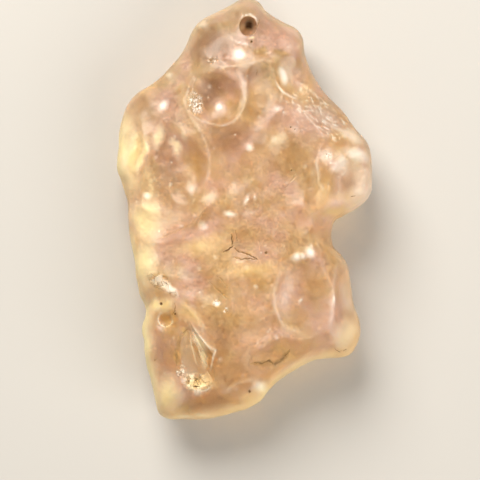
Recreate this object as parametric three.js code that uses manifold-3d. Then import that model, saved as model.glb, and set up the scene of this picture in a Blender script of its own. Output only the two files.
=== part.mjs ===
// A raw piece of Libyan desert glass: natural silica glass, worn by blown sand into one flat-backed slab.
// It is one solid. It lies on its back, with its front face up (+Z) and its narrow head towards +Y.
// The widest line, the girdle, runs round it at mid height. The front swells above the girdle and the back
// below it. Both are scooped: each scoop is a shallow dish, and crisp ridges stand where two dishes meet.
// Lengths are millimetres.
import * as THREE from "three";
import { ConvexGeometry } from "three/addons/geometries/ConvexGeometry.js";
import { mergeVertices } from "three/addons/utils/BufferGeometryUtils.js";
import Module from "manifold-3d";

// Driving dimensions
const GIRDLE_HEIGHT = 4.6;
const FRONT_SWELL = 6.9;
const BACK_SWELL = 4.9;
const ROUNDNESS = 0.64; // 1 gives the swell an elliptical section, and less a squarer one
const RIDGE_SOFTNESS = 0.06; // how far a ridge between two dishes is worn down
const SIDE_DENT = 0.9; // how deep the hollows above and below the girdle are

// The girdle seen from the front, clockwise from the tip of the head: [x, y]
const GIRDLE = [
  [0.15, 21.15],
  [1.1, 20.95],
  [2.0, 19.95],
  [3.6, 18.9],
  [5.15, 18.1],
  [5.75, 17.2],
  [6.0, 15.55],
  [6.7, 13.7],
  [8.1, 11.6],
  [9.8, 9.8],
  [11.2, 7.9],
  [12.1, 6.9],
  [12.6, 5.3],
  [12.7, 3.5],
  [12.5, 1.8],
  [11.7, 0.55],
  [10.2, -0.4],
  [9.0, -1.1],
  [8.65, -2.1],
  [8.8, -3.6],
  [9.65, -4.6],
  [10.3, -5.7],
  [10.6, -7.5],
  [10.85, -9.4],
  [11.4, -11.0],
  [11.5, -12.5],
  [10.95, -13.9],
  [10.0, -14.65],
  [8.5, -14.8],
  [6.8, -15.1],
  [5.2, -15.9],
  [3.6, -16.9],
  [2.5, -17.9],
  [1.5, -19.2],
  [0.2, -19.9],
  [-1.5, -20.35],
  [-3.7, -20.9],
  [-6.0, -20.95],
  [-7.7, -20.9],
  [-8.5, -20.45],
  [-8.9, -19.3],
  [-9.3, -17.3],
  [-9.9, -15.0],
  [-10.05, -12.0],
  [-9.95, -10.5],
  [-9.9, -9.9],
  [-10.5, -8.4],
  [-10.85, -6.8],
  [-11.05, -4.9],
  [-11.45, -3.0],
  [-11.65, -1.2],
  [-11.7, 0.65],
  [-12.15, 2.3],
  [-12.8, 4.3],
  [-12.65, 6.0],
  [-12.5, 8.1],
  [-11.95, 10.1],
  [-10.8, 11.7],
  [-9.0, 12.8],
  [-7.4, 14.4],
  [-5.95, 16.3],
  [-5.4, 17.7],
  [-4.7, 18.7],
  [-3.3, 19.6],
  [-1.8, 20.2],
  [-0.8, 20.9],
];

// Each dish: [x, y, half width, half length, turn in degrees, depth, steepness of its wall]
const FRONT_DISHES = [
  [0.4, 17.4, 5.8, 3.1, 0, 0.4, 5], // the flat of the head
  [1.9, 15.9, 2.4, 1.0, -5, 0.35, 2],
  [-2.85, 10.85, 2.65, 2.55, 0, 1.7, 2.6], // the big round pit
  [1.5, 10.8, 1.9, 3.5, 0, 0.7, 2],
  [4.7, 12.8, 1.7, 2.3, 14, 0.9, 2],
  [-7.9, 12.6, 2.1, 1.3, 45, 0.45, 2],
  [-8.3, 9.9, 1.5, 1.5, 0, 0.45, 2],
  [-7.9, 3.6, 2.6, 5.6, 4, 1.1, 2.4], // the long left facets
  [-6.2, 3.6, 2.5, 3.8, 8, 1.4, 2.6],
  [-8.8, 9.0, 1.6, 2.2, -20, 0.6, 2],
  [-11.0, 5.4, 1.4, 3.6, -4, 1.0, 2],
  [-7.6, -0.7, 3.9, 2.0, 27, 0.8, 2.2],
  [-1.4, 3.8, 2.0, 3.4, 6, 0.6, 2],
  [4.2, 3.0, 2.8, 3.6, 0, 0.6, 2], // the middle
  [0.2, 1.2, 1.5, 1.7, 0, 0.35, 2],
  [2.2, 7.9, 1.6, 1.3, 20, 0.2, 2],
  [7.0, 2.2, 1.3, 2.6, 0, 0.6, 2],
  [4.9, -1.0, 1.9, 1.6, 0, 0.4, 2],
  [8.6, 8.9, 3.2, 1.4, -42, 0.5, 2], // the frosted shoulder
  [10.3, 2.7, 1.9, 2.3, 20, 0.9, 2], // the cup of the right lobe
  [10.9, 6.2, 1.6, 0.9, -20, 0.35, 2],
  [7.7, -1.9, 1.7, 2.0, 0, 0.6, 2],
  [-7.2, -4.7, 3.3, 1.8, -12, 0.45, 2],
  [-4.4, -7.6, 2.7, 1.6, -18, 0.42, 2],
  [-1.0, -3.4, 2.2, 1.6, 0, 0.4, 2],
  [0.6, -8.6, 2.1, 2.4, 0, 0.5, 2],
  [1.4, -12.0, 2.2, 1.5, 10, 0.35, 2],
  [5.75, -8.6, 2.95, 4.1, -4, 1.2, 2.2], // the lower right dish
  [10.2, -9.4, 1.5, 4.5, 7, 1.5, 2.2],
  [9.0, -14.0, 1.7, 0.9, 12, 0.35, 2],
  [2.9, -14.6, 2.9, 1.4, 20, 0.5, 2],
  [-3.9, -19.3, 4.2, 1.5, 4, 0.9, 2.1], // the foot
  [0.9, -18.6, 1.8, 1.0, 30, 0.7, 2.1],
  [-8.2, -15.2, 1.7, 3.6, 6, 0.65, 2],
  [-7.8, -10.85, 1.1, 1.05, 0, 0.6, 2],
];
const BACK_DISHES = [
  [0.8, 16.8, 4.4, 3.2, 10, 0.9, 2],
  [-4.2, 11.6, 3.4, 2.6, 35, 1.0, 2.2],
  [4.4, 10.4, 3.2, 3.6, -20, 1.1, 2.2],
  [-9.0, 6.2, 2.6, 3.8, 0, 1.0, 2],
  [9.4, 4.4, 2.8, 3.6, 10, 1.1, 2.2],
  [-2.6, 5.2, 2.0, 1.7, 0, 0.7, 2.4],
  [-7.6, -1.6, 2.8, 2.6, 0, 0.9, 2.2],
  [5.6, -2.4, 2.6, 2.2, 25, 0.8, 2],
  [-6.6, -9.2, 3.0, 3.4, 0, 1.1, 2.2],
  [7.2, -9.6, 3.4, 3.8, -10, 1.1, 2.2],
  [0.4, -9.8, 1.9, 1.6, 0, 0.7, 2.4],
  [-5.4, -16.6, 3.2, 2.8, 12, 1.0, 2.2],
  [1.6, -15.4, 2.8, 2.2, 30, 0.9, 2],
];

// The pit in the head: a blind, egg-shaped hole
const PIT_CENTRE = [0.3, 18.15];
const PIT_RADII = [0.86, 1.0];
const PIT_DEPTH = 2.7;
const PIT_MOUTH = 9.95; // height of the surface round the pit
const PIT_SIDES = 14;

// The broken pocket: its mouth on the surface, then the break that slopes down to its right wall: [x, y, z]
const POCKET_MOUTH = [
  [-6.85, -13.6, 10.4],
  [-6.6, -15.4, 9.98],
  [-6.2, -17.4, 9.67],
  [-4.6, -18.1, 8.93],
  [-3.1, -16.9, 9.79],
  [-3.2, -14.2, 10.5],
  [-5.4, -11.2, 10.9],
  [-6.6, -12.5, 10.61],
];
const POCKET_BREAK = [
  [-6.3, -13.6, 10.45],
  [-6.0, -16.2, 9.85],
  [-4.9, -17.2, 9.05],
  [-3.7, -16.5, 8.95],
  [-3.7, -14.5, 9.25],
  [-5.1, -12.2, 10.2],
];
const POCKET_TOP = 13; // the cutter ends above the surface here

// How finely the slab's surface is divided: across, along, and round the girdle
const DIVISIONS = [32, 54, 6];
const GIRDLE_ANGLE = THREE.MathUtils.degToRad(35); // where the faces give way to the girdle's band
const GIRDLE_ASPECT = 1.6; // how much longer than wide the slab is

// The girdle's distance from the slab's middle by direction, and the same evened out over 30 degrees each way
const STEPS = 1440;
const girdlePoints = new THREE.CatmullRomCurve3(
  GIRDLE.map(([x, y]) => new THREE.Vector3(x, y, 0)),
  true,
  "centripetal",
).getPoints(4 * STEPS);
const girdleRadii = girdleTable(girdlePoints);
const evenRadii = girdleRadii.map((_, i) => evened(girdleRadii, i, STEPS / 12));

function girdleTable(points) {
  const byAngle = points
    .map(({ x, y }) => ({ angle: Math.atan2(y, x), radius: Math.hypot(x, y) }))
    .sort((a, b) => a.angle - b.angle);
  const table = [];
  let next = 0;
  for (let i = 0; i < STEPS; i++) {
    const angle = (i / STEPS) * 2 * Math.PI - Math.PI;
    while (next < byAngle.length - 1 && byAngle[next].angle < angle) next++;
    table.push(byAngle[next].radius);
  }
  return table;
}

function evened(table, at, reach) {
  let sum = 0;
  let weights = 0;
  for (let k = -reach; k <= reach; k++) {
    const weight = Math.cos((k / reach) * (Math.PI / 2));
    sum += weight * table[(at + k + STEPS) % STEPS];
    weights += weight;
  }
  return sum / weights;
}

function lookUp(table, angle) {
  const at = (((angle + Math.PI) / (2 * Math.PI)) * STEPS + STEPS) % STEPS;
  const low = Math.floor(at);
  return THREE.MathUtils.lerp(table[low % STEPS], table[(low + 1) % STEPS], at - low);
}

// How far the dishes cut in at a point. The deepest wins, and the ridges between them are a little rounded.
// Their outlines are shifted a little this way and that, so that none is a plain oval.
function cut(dishes, atX, atY) {
  const x = atX + 0.2 * Math.sin(0.9 * atY + 0.7) + 0.1 * Math.sin(1.7 * atY - 0.8 * atX);
  const y = atY + 0.2 * Math.sin(0.8 * atX + 2.1) + 0.1 * Math.sin(1.9 * atX + 0.6 * atY);
  let sum = 1;
  for (const [cx, cy, halfWidth, halfLength, turn, depth, steepness] of dishes) {
    const angle = THREE.MathUtils.degToRad(turn);
    const across = ((x - cx) * Math.cos(angle) + (y - cy) * Math.sin(angle)) / halfWidth;
    const along = ((y - cy) * Math.cos(angle) - (x - cx) * Math.sin(angle)) / halfLength;
    const out = Math.hypot(across, along);
    if (out < 1.6) sum += Math.exp((depth * (1 - out ** steepness)) / RIDGE_SOFTNESS);
  }
  return RIDGE_SOFTNESS * Math.log(sum);
}

// A slow roll of the surface, so that no face is a plain dome
function roll(x, y) {
  return (
    0.16 * Math.sin(0.55 * x + 0.31 * y + 0.6) * Math.sin(0.36 * y - 0.42 * x + 1.9) +
    0.07 * Math.sin(1.35 * x - 0.62 * y + 2.4) * Math.sin(0.95 * y + 0.7 * x)
  );
}

// A point of the surface. reach runs from 0 at a face's middle to 1 at the girdle, rise is the share of the
// swell there, and side is 1 on the front and -1 on the back.
function surfacePoint(angle, reach, rise, side) {
  const even = lookUp(evenRadii, angle);
  const wave = Math.sin(9 * angle + side) * Math.sin(4 * angle + 2 * side);
  const dent = SIDE_DENT * rise * (1 - rise) * (1 + wave);
  const radius = reach * (THREE.MathUtils.lerp(even, lookUp(girdleRadii, angle), reach ** 3) - dent);
  const x = radius * Math.cos(angle);
  const y = radius * Math.sin(angle);
  const sway = 0.5 * Math.sin(2 * angle + 0.8) + 0.25 * Math.sin(5 * angle);
  const girdle = GIRDLE_HEIGHT + sway * reach ** 4;
  const grip = THREE.MathUtils.smoothstep(rise, 0, 0.6); // the dishes fade out at the girdle
  if (side > 0) {
    const head = THREE.MathUtils.smoothstep(y, 11, 19);
    const swell = FRONT_SWELL * (1 + 0.2 * head) + roll(x, y);
    return [x, y, girdle + swell * rise - cut(FRONT_DISHES, x, y) * grip];
  }
  const swell = BACK_SWELL + roll(y, x);
  return [x, y, Math.max(0, girdle - swell * rise + cut(BACK_DISHES, x, y) * grip)];
}

// The slab: a finely divided box, each of whose points is moved to its place on the glass
function slabGeometry() {
  const box = new THREE.BoxGeometry(2, 2, 2, ...DIVISIONS);
  const place = box.getAttribute("position");
  const faceReach = Math.cos(GIRDLE_ANGLE) ** ROUNDNESS;
  for (let i = 0; i < place.count; i++) {
    const [u, v, w] = [place.getX(i), place.getY(i), place.getZ(i)];
    const [discX, discY] = [u * Math.sqrt(1 - (v * v) / 2), v * Math.sqrt(1 - (u * u) / 2)];
    const ring = Math.hypot(discX, discY);
    const angle = Math.atan2(discY * GIRDLE_ASPECT, discX);
    let reach = ring * faceReach;
    let rise = (1 - reach ** (2 / ROUNDNESS)) ** (ROUNDNESS / 2);
    if (ring > 0.9999) {
      const climb = Math.abs(w) * GIRDLE_ANGLE;
      reach = Math.cos(climb) ** ROUNDNESS;
      rise = Math.sin(climb) ** ROUNDNESS;
    }
    place.setXYZ(i, ...surfacePoint(angle, reach, rise, Math.sign(w) || 1));
  }
  splitShortWay(box);
  return merged(box);
}

// Splits each four-cornered face along its shorter diagonal
function splitShortWay(geometry) {
  const place = geometry.getAttribute("position");
  const index = geometry.index;
  const corner = (i) => new THREE.Vector3().fromBufferAttribute(place, i);
  for (let i = 0; i < index.count; i += 6) {
    const [a, b, d, c] = [0, 1, 2, 4].map((k) => index.getX(i + k));
    if (corner(a).distanceTo(corner(c)) < corner(b).distanceTo(corner(d)))
      [a, b, c, a, c, d].forEach((vertex, k) => index.setX(i + k, vertex));
  }
}

// The pit's cutter, which starts above the surface and narrows to a round end below it
const PIT_PROFILE = [
  [0, -1], // share of the radius, share of the depth
  [0.5, -0.96],
  [0.78, -0.81],
  [0.95, -0.52],
  [1, 0],
  [1, 1],
  [0, 1],
];

function pitGeometry(mouth) {
  const lathe = new THREE.LatheGeometry(
    PIT_PROFILE.map(([out, up]) => new THREE.Vector2(out, up * PIT_DEPTH)),
    PIT_SIDES,
  );
  lathe.rotateX(Math.PI / 2);
  lathe.scale(PIT_RADII[0], PIT_RADII[1], 1);
  lathe.translate(PIT_CENTRE[0], PIT_CENTRE[1], mouth);
  return merged(lathe);
}

// The pocket's cutter
function pocketGeometry() {
  const raised = POCKET_MOUTH.map(([x, y]) => [x, y, POCKET_TOP]);
  const corners = [...raised, ...POCKET_MOUTH, ...POCKET_BREAK].map((at) => new THREE.Vector3(...at));
  return merged(new ConvexGeometry(corners));
}

function merged(geometry) {
  geometry.deleteAttribute("normal");
  geometry.deleteAttribute("uv");
  return mergeVertices(geometry, 1e-4);
}

const wasm = await Module();
wasm.setup();

function solidOf(geometry) {
  const mesh = new wasm.Mesh({
    numProp: 3,
    vertProperties: new Float32Array(geometry.getAttribute("position").array),
    triVerts: new Uint32Array(geometry.index.array),
  });
  return new wasm.Manifold(mesh);
}

function geometryOf(solid) {
  const { vertProperties, triVerts } = solid.getMesh();
  const geometry = new THREE.BufferGeometry();
  geometry.setAttribute("position", new THREE.BufferAttribute(vertProperties, 3));
  geometry.setIndex(new THREE.BufferAttribute(triVerts, 1));
  return geometry;
}

const slab = solidOf(slabGeometry());
const pitted = slab.subtract(solidOf(pitGeometry(PIT_MOUTH)));
const glass = pitted.subtract(solidOf(pocketGeometry()));

const honeyGlass = new THREE.MeshStandardMaterial({
  color: 0xe6c48c,
  roughness: 0.3,
  metalness: 0,
  transparent: true,
  opacity: 0.6,
});
const desertGlass = new THREE.Mesh(geometryOf(glass), honeyGlass);
desertGlass.name = "desert_glass";

const part = new THREE.Group();
part.add(desertGlass);

export default part;
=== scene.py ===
from math import cos, pi, radians, sin, sqrt

import bmesh
import bpy
import numpy as np
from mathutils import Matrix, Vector, noise


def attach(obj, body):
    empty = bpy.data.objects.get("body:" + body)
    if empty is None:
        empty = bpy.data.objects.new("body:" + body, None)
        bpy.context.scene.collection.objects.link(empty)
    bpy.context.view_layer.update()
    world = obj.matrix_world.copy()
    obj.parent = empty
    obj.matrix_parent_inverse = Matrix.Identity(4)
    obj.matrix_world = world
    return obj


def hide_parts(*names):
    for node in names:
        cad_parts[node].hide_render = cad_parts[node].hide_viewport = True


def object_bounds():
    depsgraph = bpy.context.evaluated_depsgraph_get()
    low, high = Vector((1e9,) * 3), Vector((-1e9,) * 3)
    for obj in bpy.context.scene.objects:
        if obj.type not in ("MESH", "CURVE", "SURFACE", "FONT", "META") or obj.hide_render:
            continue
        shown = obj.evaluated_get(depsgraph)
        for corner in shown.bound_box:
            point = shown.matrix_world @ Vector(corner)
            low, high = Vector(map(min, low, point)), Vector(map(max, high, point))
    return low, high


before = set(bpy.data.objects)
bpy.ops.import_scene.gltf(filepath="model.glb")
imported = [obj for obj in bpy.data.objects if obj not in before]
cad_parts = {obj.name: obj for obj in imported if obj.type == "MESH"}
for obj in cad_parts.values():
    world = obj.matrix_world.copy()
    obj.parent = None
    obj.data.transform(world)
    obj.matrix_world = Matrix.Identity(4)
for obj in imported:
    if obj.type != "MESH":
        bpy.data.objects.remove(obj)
cad_low, cad_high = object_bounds()

# The view
# The piece lies on its back and is seen from straight above, with its narrow head at the top of the picture.
# A long lens keeps what stands nearer from growing. Lengths in the lists of this file are millimetres.
MM = 0.001
VIEW_CENTRE = (-0.5, -3.0)
VIEW_WIDTH = 48.0  # across the picture, at the height of the girdle
GIRDLE_HEIGHT = 4.6
LENS, SENSOR = 300.0, 36.0
NEAREST_SEEN = 10

camera = bpy.data.objects.new("camera", bpy.data.cameras.new("camera"))
camera.data.lens = LENS
camera.data.sensor_width = SENSOR
camera.data.clip_start = NEAREST_SEEN * MM
camera.location = Vector((*VIEW_CENTRE, GIRDLE_HEIGHT + VIEW_WIDTH * LENS / SENSOR)) * MM
bpy.context.scene.collection.objects.link(camera)
bpy.context.scene.camera = camera

# The table and the light
# A plain pale table top in a pale room. A broad soft lamp beyond the head puts a cream highlight on every
# slope that faces it, and a weaker one past the foot keeps the shadows open.
TABLE_HALF_WIDTH = 600
TABLE_DROP = 0.02  # the gap that keeps the table's face clear of the glass's flat back
TABLE_COLOUR = (0.52, 0.5, 0.475, 1)
TABLE_ROUGHNESS = 0.6
# Each lamp: the way it stands, its distance, its width, its power
LAMPS = [
    ((-0.28, 0.67, 0.74), 300, 200, 1.37),
    ((0.62, -0.5, 0.6), 320, 300, 0.78),
]
LAMP_COLOUR = (1.0, 0.96, 0.88)
ROOM_COLOUR = (1.0, 0.97, 0.93, 1)
ROOM_STRENGTH = 0.27


class Field:
    """A socket of a material. Arithmetic on it adds Math nodes."""

    def __init__(self, recipe, socket):
        self.recipe = recipe
        self.socket = socket

    def math(self, operation, *values, clamp=False):
        inputs = dict(enumerate(values))
        return self.recipe.node("ShaderNodeMath", {"operation": operation, "use_clamp": clamp}, inputs)

    def __add__(self, other):
        return self.math("ADD", self, other)

    def __sub__(self, other):
        return self.math("SUBTRACT", self, other)

    def __rsub__(self, other):
        return self.math("SUBTRACT", other, self)

    def __mul__(self, other):
        return self.math("MULTIPLY", self, other)

    def clamped(self):
        return self.math("ADD", self, 0, clamp=True)


class Recipe:
    """A material, built a node at a time."""

    def __init__(self, name):
        self.material = bpy.data.materials.new(name)
        self.material.use_nodes = True
        self.nodes = self.material.node_tree.nodes
        self.nodes.clear()

    def node(self, kind, settings, inputs, out=0):
        """Adds a node, applies its settings and fills its sockets with values or links. Returns an output."""
        made = self.nodes.new(kind)
        for name, value in settings.items():
            setattr(made, name, value)
        for name, value in inputs.items():
            if isinstance(value, Field):
                self.material.node_tree.links.new(value.socket, made.inputs[name])
            else:
                made.inputs[name].default_value = value
        return Field(self, made.outputs[out]) if len(made.outputs) else None


pale = Recipe("floor")
pale_top = pale.node(
    "ShaderNodeBsdfPrincipled", {}, {"Base Color": TABLE_COLOUR, "Roughness": TABLE_ROUGHNESS}
)
pale.node("ShaderNodeOutputMaterial", {}, {"Surface": pale_top})

table = bmesh.new()
bmesh.ops.create_grid(table, x_segments=1, y_segments=1, size=TABLE_HALF_WIDTH * MM)
bmesh.ops.translate(table, vec=(0, 0, -TABLE_DROP * MM), verts=table.verts)
floor_mesh = bpy.data.meshes.new("floor")
table.to_mesh(floor_mesh)
floor_mesh.materials.append(pale.material)
floor = bpy.data.objects.new("floor", floor_mesh)
bpy.context.scene.collection.objects.link(floor)

for way, distance, width, power in LAMPS:
    lamp = bpy.data.objects.new("lamp", bpy.data.lights.new("lamp", "AREA"))
    lamp.data.shape = "DISK"
    lamp.data.size = width * MM
    lamp.data.energy = power
    lamp.data.color = LAMP_COLOUR
    lamp.location = Vector(way).normalized() * distance * MM
    lamp.rotation_euler = (-lamp.location).to_track_quat("-Z", "Y").to_euler()
    bpy.context.scene.collection.objects.link(lamp)

room = bpy.data.worlds.new("room")
room.use_nodes = True
room.node_tree.nodes["Background"].inputs["Color"].default_value = ROOM_COLOUR
room.node_tree.nodes["Background"].inputs["Strength"].default_value = ROOM_STRENGTH
bpy.context.scene.world = room
bpy.context.scene.view_settings.view_transform = "Standard"

# The glass
# One natural piece of silica glass, clear honey inside. Front and back swell from its widest line, the
# girdle, and blown sand has scooped both into shallow dishes with crisp ridges between them, and has worn,
# frosted and pitted the whole outside.
FRONT_SWELL = 6.9
BACK_SWELL = 4.9
HEAD_SWELL = 0.2  # how much thicker the head is, as a share
HEAD_RISE = (11, 19)  # where along the piece the head starts to thicken, and where it is thickest
ROUNDNESS = 0.64  # 1 gives the swell an elliptical section, and less a squarer one
RIDGE_SOFTNESS = 0.06
SIDE_DENT = 0.9
GIRDLE = [
    (0.15, 21.15), (1.1, 20.95), (2.0, 19.95), (3.6, 18.9), (5.15, 18.1), (5.75, 17.2), (6.0, 15.55),
    (6.7, 13.7), (8.1, 11.6), (9.8, 9.8), (11.2, 7.9), (12.1, 6.9), (12.6, 5.3), (12.7, 3.5), (12.5, 1.8),
    (11.7, 0.55), (10.2, -0.4), (9.0, -1.1), (8.65, -2.1), (8.8, -3.6), (9.65, -4.6), (10.3, -5.7),
    (10.6, -7.5), (10.85, -9.4), (11.4, -11.0), (11.5, -12.5), (10.95, -13.9), (10.0, -14.65),
    (8.5, -14.8), (6.8, -15.1), (5.2, -15.9), (3.6, -16.9), (2.5, -17.9), (1.5, -19.2), (0.2, -19.9),
    (-1.5, -20.35), (-3.7, -20.9), (-6.0, -20.95), (-7.7, -20.9), (-8.5, -20.45), (-8.9, -19.3),
    (-9.3, -17.3), (-9.9, -15.0), (-10.05, -12.0), (-9.95, -10.5), (-9.9, -9.9), (-10.5, -8.4),
    (-10.85, -6.8), (-11.05, -4.9), (-11.45, -3.0), (-11.65, -1.2), (-11.7, 0.65), (-12.15, 2.3),
    (-12.8, 4.3), (-12.65, 6.0), (-12.5, 8.1), (-11.95, 10.1), (-10.8, 11.7), (-9.0, 12.8), (-7.4, 14.4),
    (-5.95, 16.3), (-5.4, 17.7), (-4.7, 18.7), (-3.3, 19.6), (-1.8, 20.2), (-0.8, 20.9),
]

# Each dish: x, y, half width, half length, turn in degrees, depth, steepness of its wall
FRONT_DISHES = [
    (0.4, 17.4, 5.8, 3.1, 0, 0.4, 5),  # the flat of the head
    (1.9, 15.9, 2.4, 1.0, -5, 0.35, 2),
    (-2.85, 10.85, 2.65, 2.55, 0, 1.7, 2.6),  # the big round pit
    (1.5, 10.8, 1.9, 3.5, 0, 0.7, 2),
    (4.7, 12.8, 1.7, 2.3, 14, 0.9, 2),
    (-7.9, 12.6, 2.1, 1.3, 45, 0.45, 2),
    (-8.3, 9.9, 1.5, 1.5, 0, 0.45, 2),
    (-7.9, 3.6, 2.6, 5.6, 4, 1.1, 2.4),  # the long left facets
    (-6.2, 3.6, 2.5, 3.8, 8, 1.4, 2.6),
    (-8.8, 9.0, 1.6, 2.2, -20, 0.6, 2),
    (-11.0, 5.4, 1.4, 3.6, -4, 1.0, 2),
    (-7.6, -0.7, 3.9, 2.0, 27, 0.8, 2.2),
    (-1.4, 3.8, 2.0, 3.4, 6, 0.6, 2),
    (4.2, 3.0, 2.8, 3.6, 0, 0.6, 2),  # the middle
    (0.2, 1.2, 1.5, 1.7, 0, 0.35, 2),
    (2.2, 7.9, 1.6, 1.3, 20, 0.2, 2),
    (7.0, 2.2, 1.3, 2.6, 0, 0.6, 2),
    (4.9, -1.0, 1.9, 1.6, 0, 0.4, 2),
    (8.6, 8.9, 3.2, 1.4, -42, 0.5, 2),  # the frosted shoulder
    (10.3, 2.7, 1.9, 2.3, 20, 0.9, 2),  # the cup of the right lobe
    (10.9, 6.2, 1.6, 0.9, -20, 0.35, 2),
    (7.7, -1.9, 1.7, 2.0, 0, 0.6, 2),
    (-7.2, -4.7, 3.3, 1.8, -12, 0.45, 2),
    (-4.4, -7.6, 2.7, 1.6, -18, 0.42, 2),
    (-1.0, -3.4, 2.2, 1.6, 0, 0.4, 2),
    (0.6, -8.6, 2.1, 2.4, 0, 0.5, 2),
    (1.4, -12.0, 2.2, 1.5, 10, 0.35, 2),
    (5.75, -8.6, 2.95, 4.1, -4, 1.2, 2.2),  # the lower right dish
    (10.2, -9.4, 1.5, 4.5, 7, 1.5, 2.2),
    (9.0, -14.0, 1.7, 0.9, 12, 0.35, 2),
    (2.9, -14.6, 2.9, 1.4, 20, 0.5, 2),
    (-3.9, -19.3, 4.2, 1.5, 4, 0.9, 2.1),  # the foot
    (0.9, -18.6, 1.8, 1.0, 30, 0.7, 2.1),
    (-8.2, -15.2, 1.7, 3.6, 6, 0.65, 2),
    (-7.8, -10.85, 1.1, 1.05, 0, 0.6, 2),
]
BACK_DISHES = [
    (0.8, 16.8, 4.4, 3.2, 10, 0.9, 2), (-4.2, 11.6, 3.4, 2.6, 35, 1.0, 2.2),
    (4.4, 10.4, 3.2, 3.6, -20, 1.1, 2.2), (-9.0, 6.2, 2.6, 3.8, 0, 1.0, 2),
    (9.4, 4.4, 2.8, 3.6, 10, 1.1, 2.2), (-2.6, 5.2, 2.0, 1.7, 0, 0.7, 2.4),
    (-7.6, -1.6, 2.8, 2.6, 0, 0.9, 2.2), (5.6, -2.4, 2.6, 2.2, 25, 0.8, 2),
    (-6.6, -9.2, 3.0, 3.4, 0, 1.1, 2.2), (7.2, -9.6, 3.4, 3.8, -10, 1.1, 2.2),
    (0.4, -9.8, 1.9, 1.6, 0, 0.7, 2.4), (-5.4, -16.6, 3.2, 2.8, 12, 1.0, 2.2),
    (1.6, -15.4, 2.8, 2.2, 30, 0.9, 2),
]
DISH_REACH = 1.6  # how far out a dish is worked out, in half widths
DISH_FADE = 0.6  # how far up from the girdle the dishes reach their full depth


def smoothstep(value, low, high):
    share = np.clip((value - low) / (high - low), 0, 1)
    return share * share * (3 - 2 * share)


def girdle_curve(points, steps=40):
    """The smooth closed curve through the points, with its knots spaced by the root of their distance."""
    points = np.array(points)
    curve = []
    for p0, p1, p2, p3 in zip(np.roll(points, 1, 0), points, np.roll(points, -1, 0), np.roll(points, -2, 0)):
        d0, d1, d2 = (sqrt(np.hypot(*(b - a))) for a, b in ((p0, p1), (p1, p2), (p2, p3)))
        slope1 = (p1 - p0) / d0 - (p2 - p0) / (d0 + d1) + (p2 - p1) / d1
        slope2 = (p2 - p1) / d1 - (p3 - p1) / (d1 + d2) + (p3 - p2) / d2
        t = np.linspace(0, 1, steps, endpoint=False)[:, None]
        curve.append(
            (2 * t**3 - 3 * t**2 + 1) * p1 + (t**3 - 2 * t**2 + t) * d1 * slope1
            + (3 * t**2 - 2 * t**3) * p2 + (t**3 - t**2) * d1 * slope2
        )
    return np.concatenate(curve)


# The girdle's distance from the middle by direction, and the same evened out over 30 degrees each way
curve = girdle_curve(GIRDLE)
directions = np.arctan2(curve[:, 1], curve[:, 0])
order = np.argsort(directions)
STEPS = 1440
TURN = np.arange(STEPS) / STEPS * 2 * pi - pi
girdle_radii = np.interp(TURN, directions[order], np.hypot(*curve.T)[order], period=2 * pi)
EVENED = STEPS // 12
spread = np.cos(np.linspace(-pi / 2, pi / 2, 2 * EVENED + 1))
wrapped = np.concatenate([girdle_radii[-EVENED:], girdle_radii, girdle_radii[:EVENED]])
even_radii = np.convolve(wrapped, spread / spread.sum(), "valid")


def oval(x, y, cx, cy, half_width, half_length, turn=0):
    """How far points are from an oval's centre: 1 is its edge."""
    turn = radians(turn)
    across = ((x - cx) * cos(turn) + (y - cy) * sin(turn)) / half_width
    along = ((y - cy) * cos(turn) - (x - cx) * sin(turn)) / half_length
    return np.hypot(across, along)


def cut(dishes, x, y):
    """How far the dishes cut in. Their outlines waver, the deepest wins, and the ridges are a bit rounded."""
    x, y = (
        x + 0.2 * np.sin(0.9 * y + 0.7) + 0.1 * np.sin(1.7 * y - 0.8 * x),
        y + 0.2 * np.sin(0.8 * x + 2.1) + 0.1 * np.sin(1.9 * x + 0.6 * y),
    )
    total = np.ones_like(x)
    for cx, cy, half_width, half_length, turn, depth, steepness in dishes:
        out = np.minimum(oval(x, y, cx, cy, half_width, half_length, turn), DISH_REACH)
        total += np.exp(depth * (1 - out**steepness) / RIDGE_SOFTNESS)
    return RIDGE_SOFTNESS * np.log(total)


def roll(x, y):
    """A slow roll of the surface, so that no face is a plain dome."""
    return 0.16 * np.sin(0.55 * x + 0.31 * y + 0.6) * np.sin(0.36 * y - 0.42 * x + 1.9) + 0.07 * np.sin(
        1.35 * x - 0.62 * y + 2.4
    ) * np.sin(0.95 * y + 0.7 * x)


GIRDLE_ANGLE = radians(35)  # where the faces give way to the girdle's band
FACE_REACH = cos(GIRDLE_ANGLE) ** ROUNDNESS
GIRDLE_ASPECT = 1.6  # how much longer than wide the piece is


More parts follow.
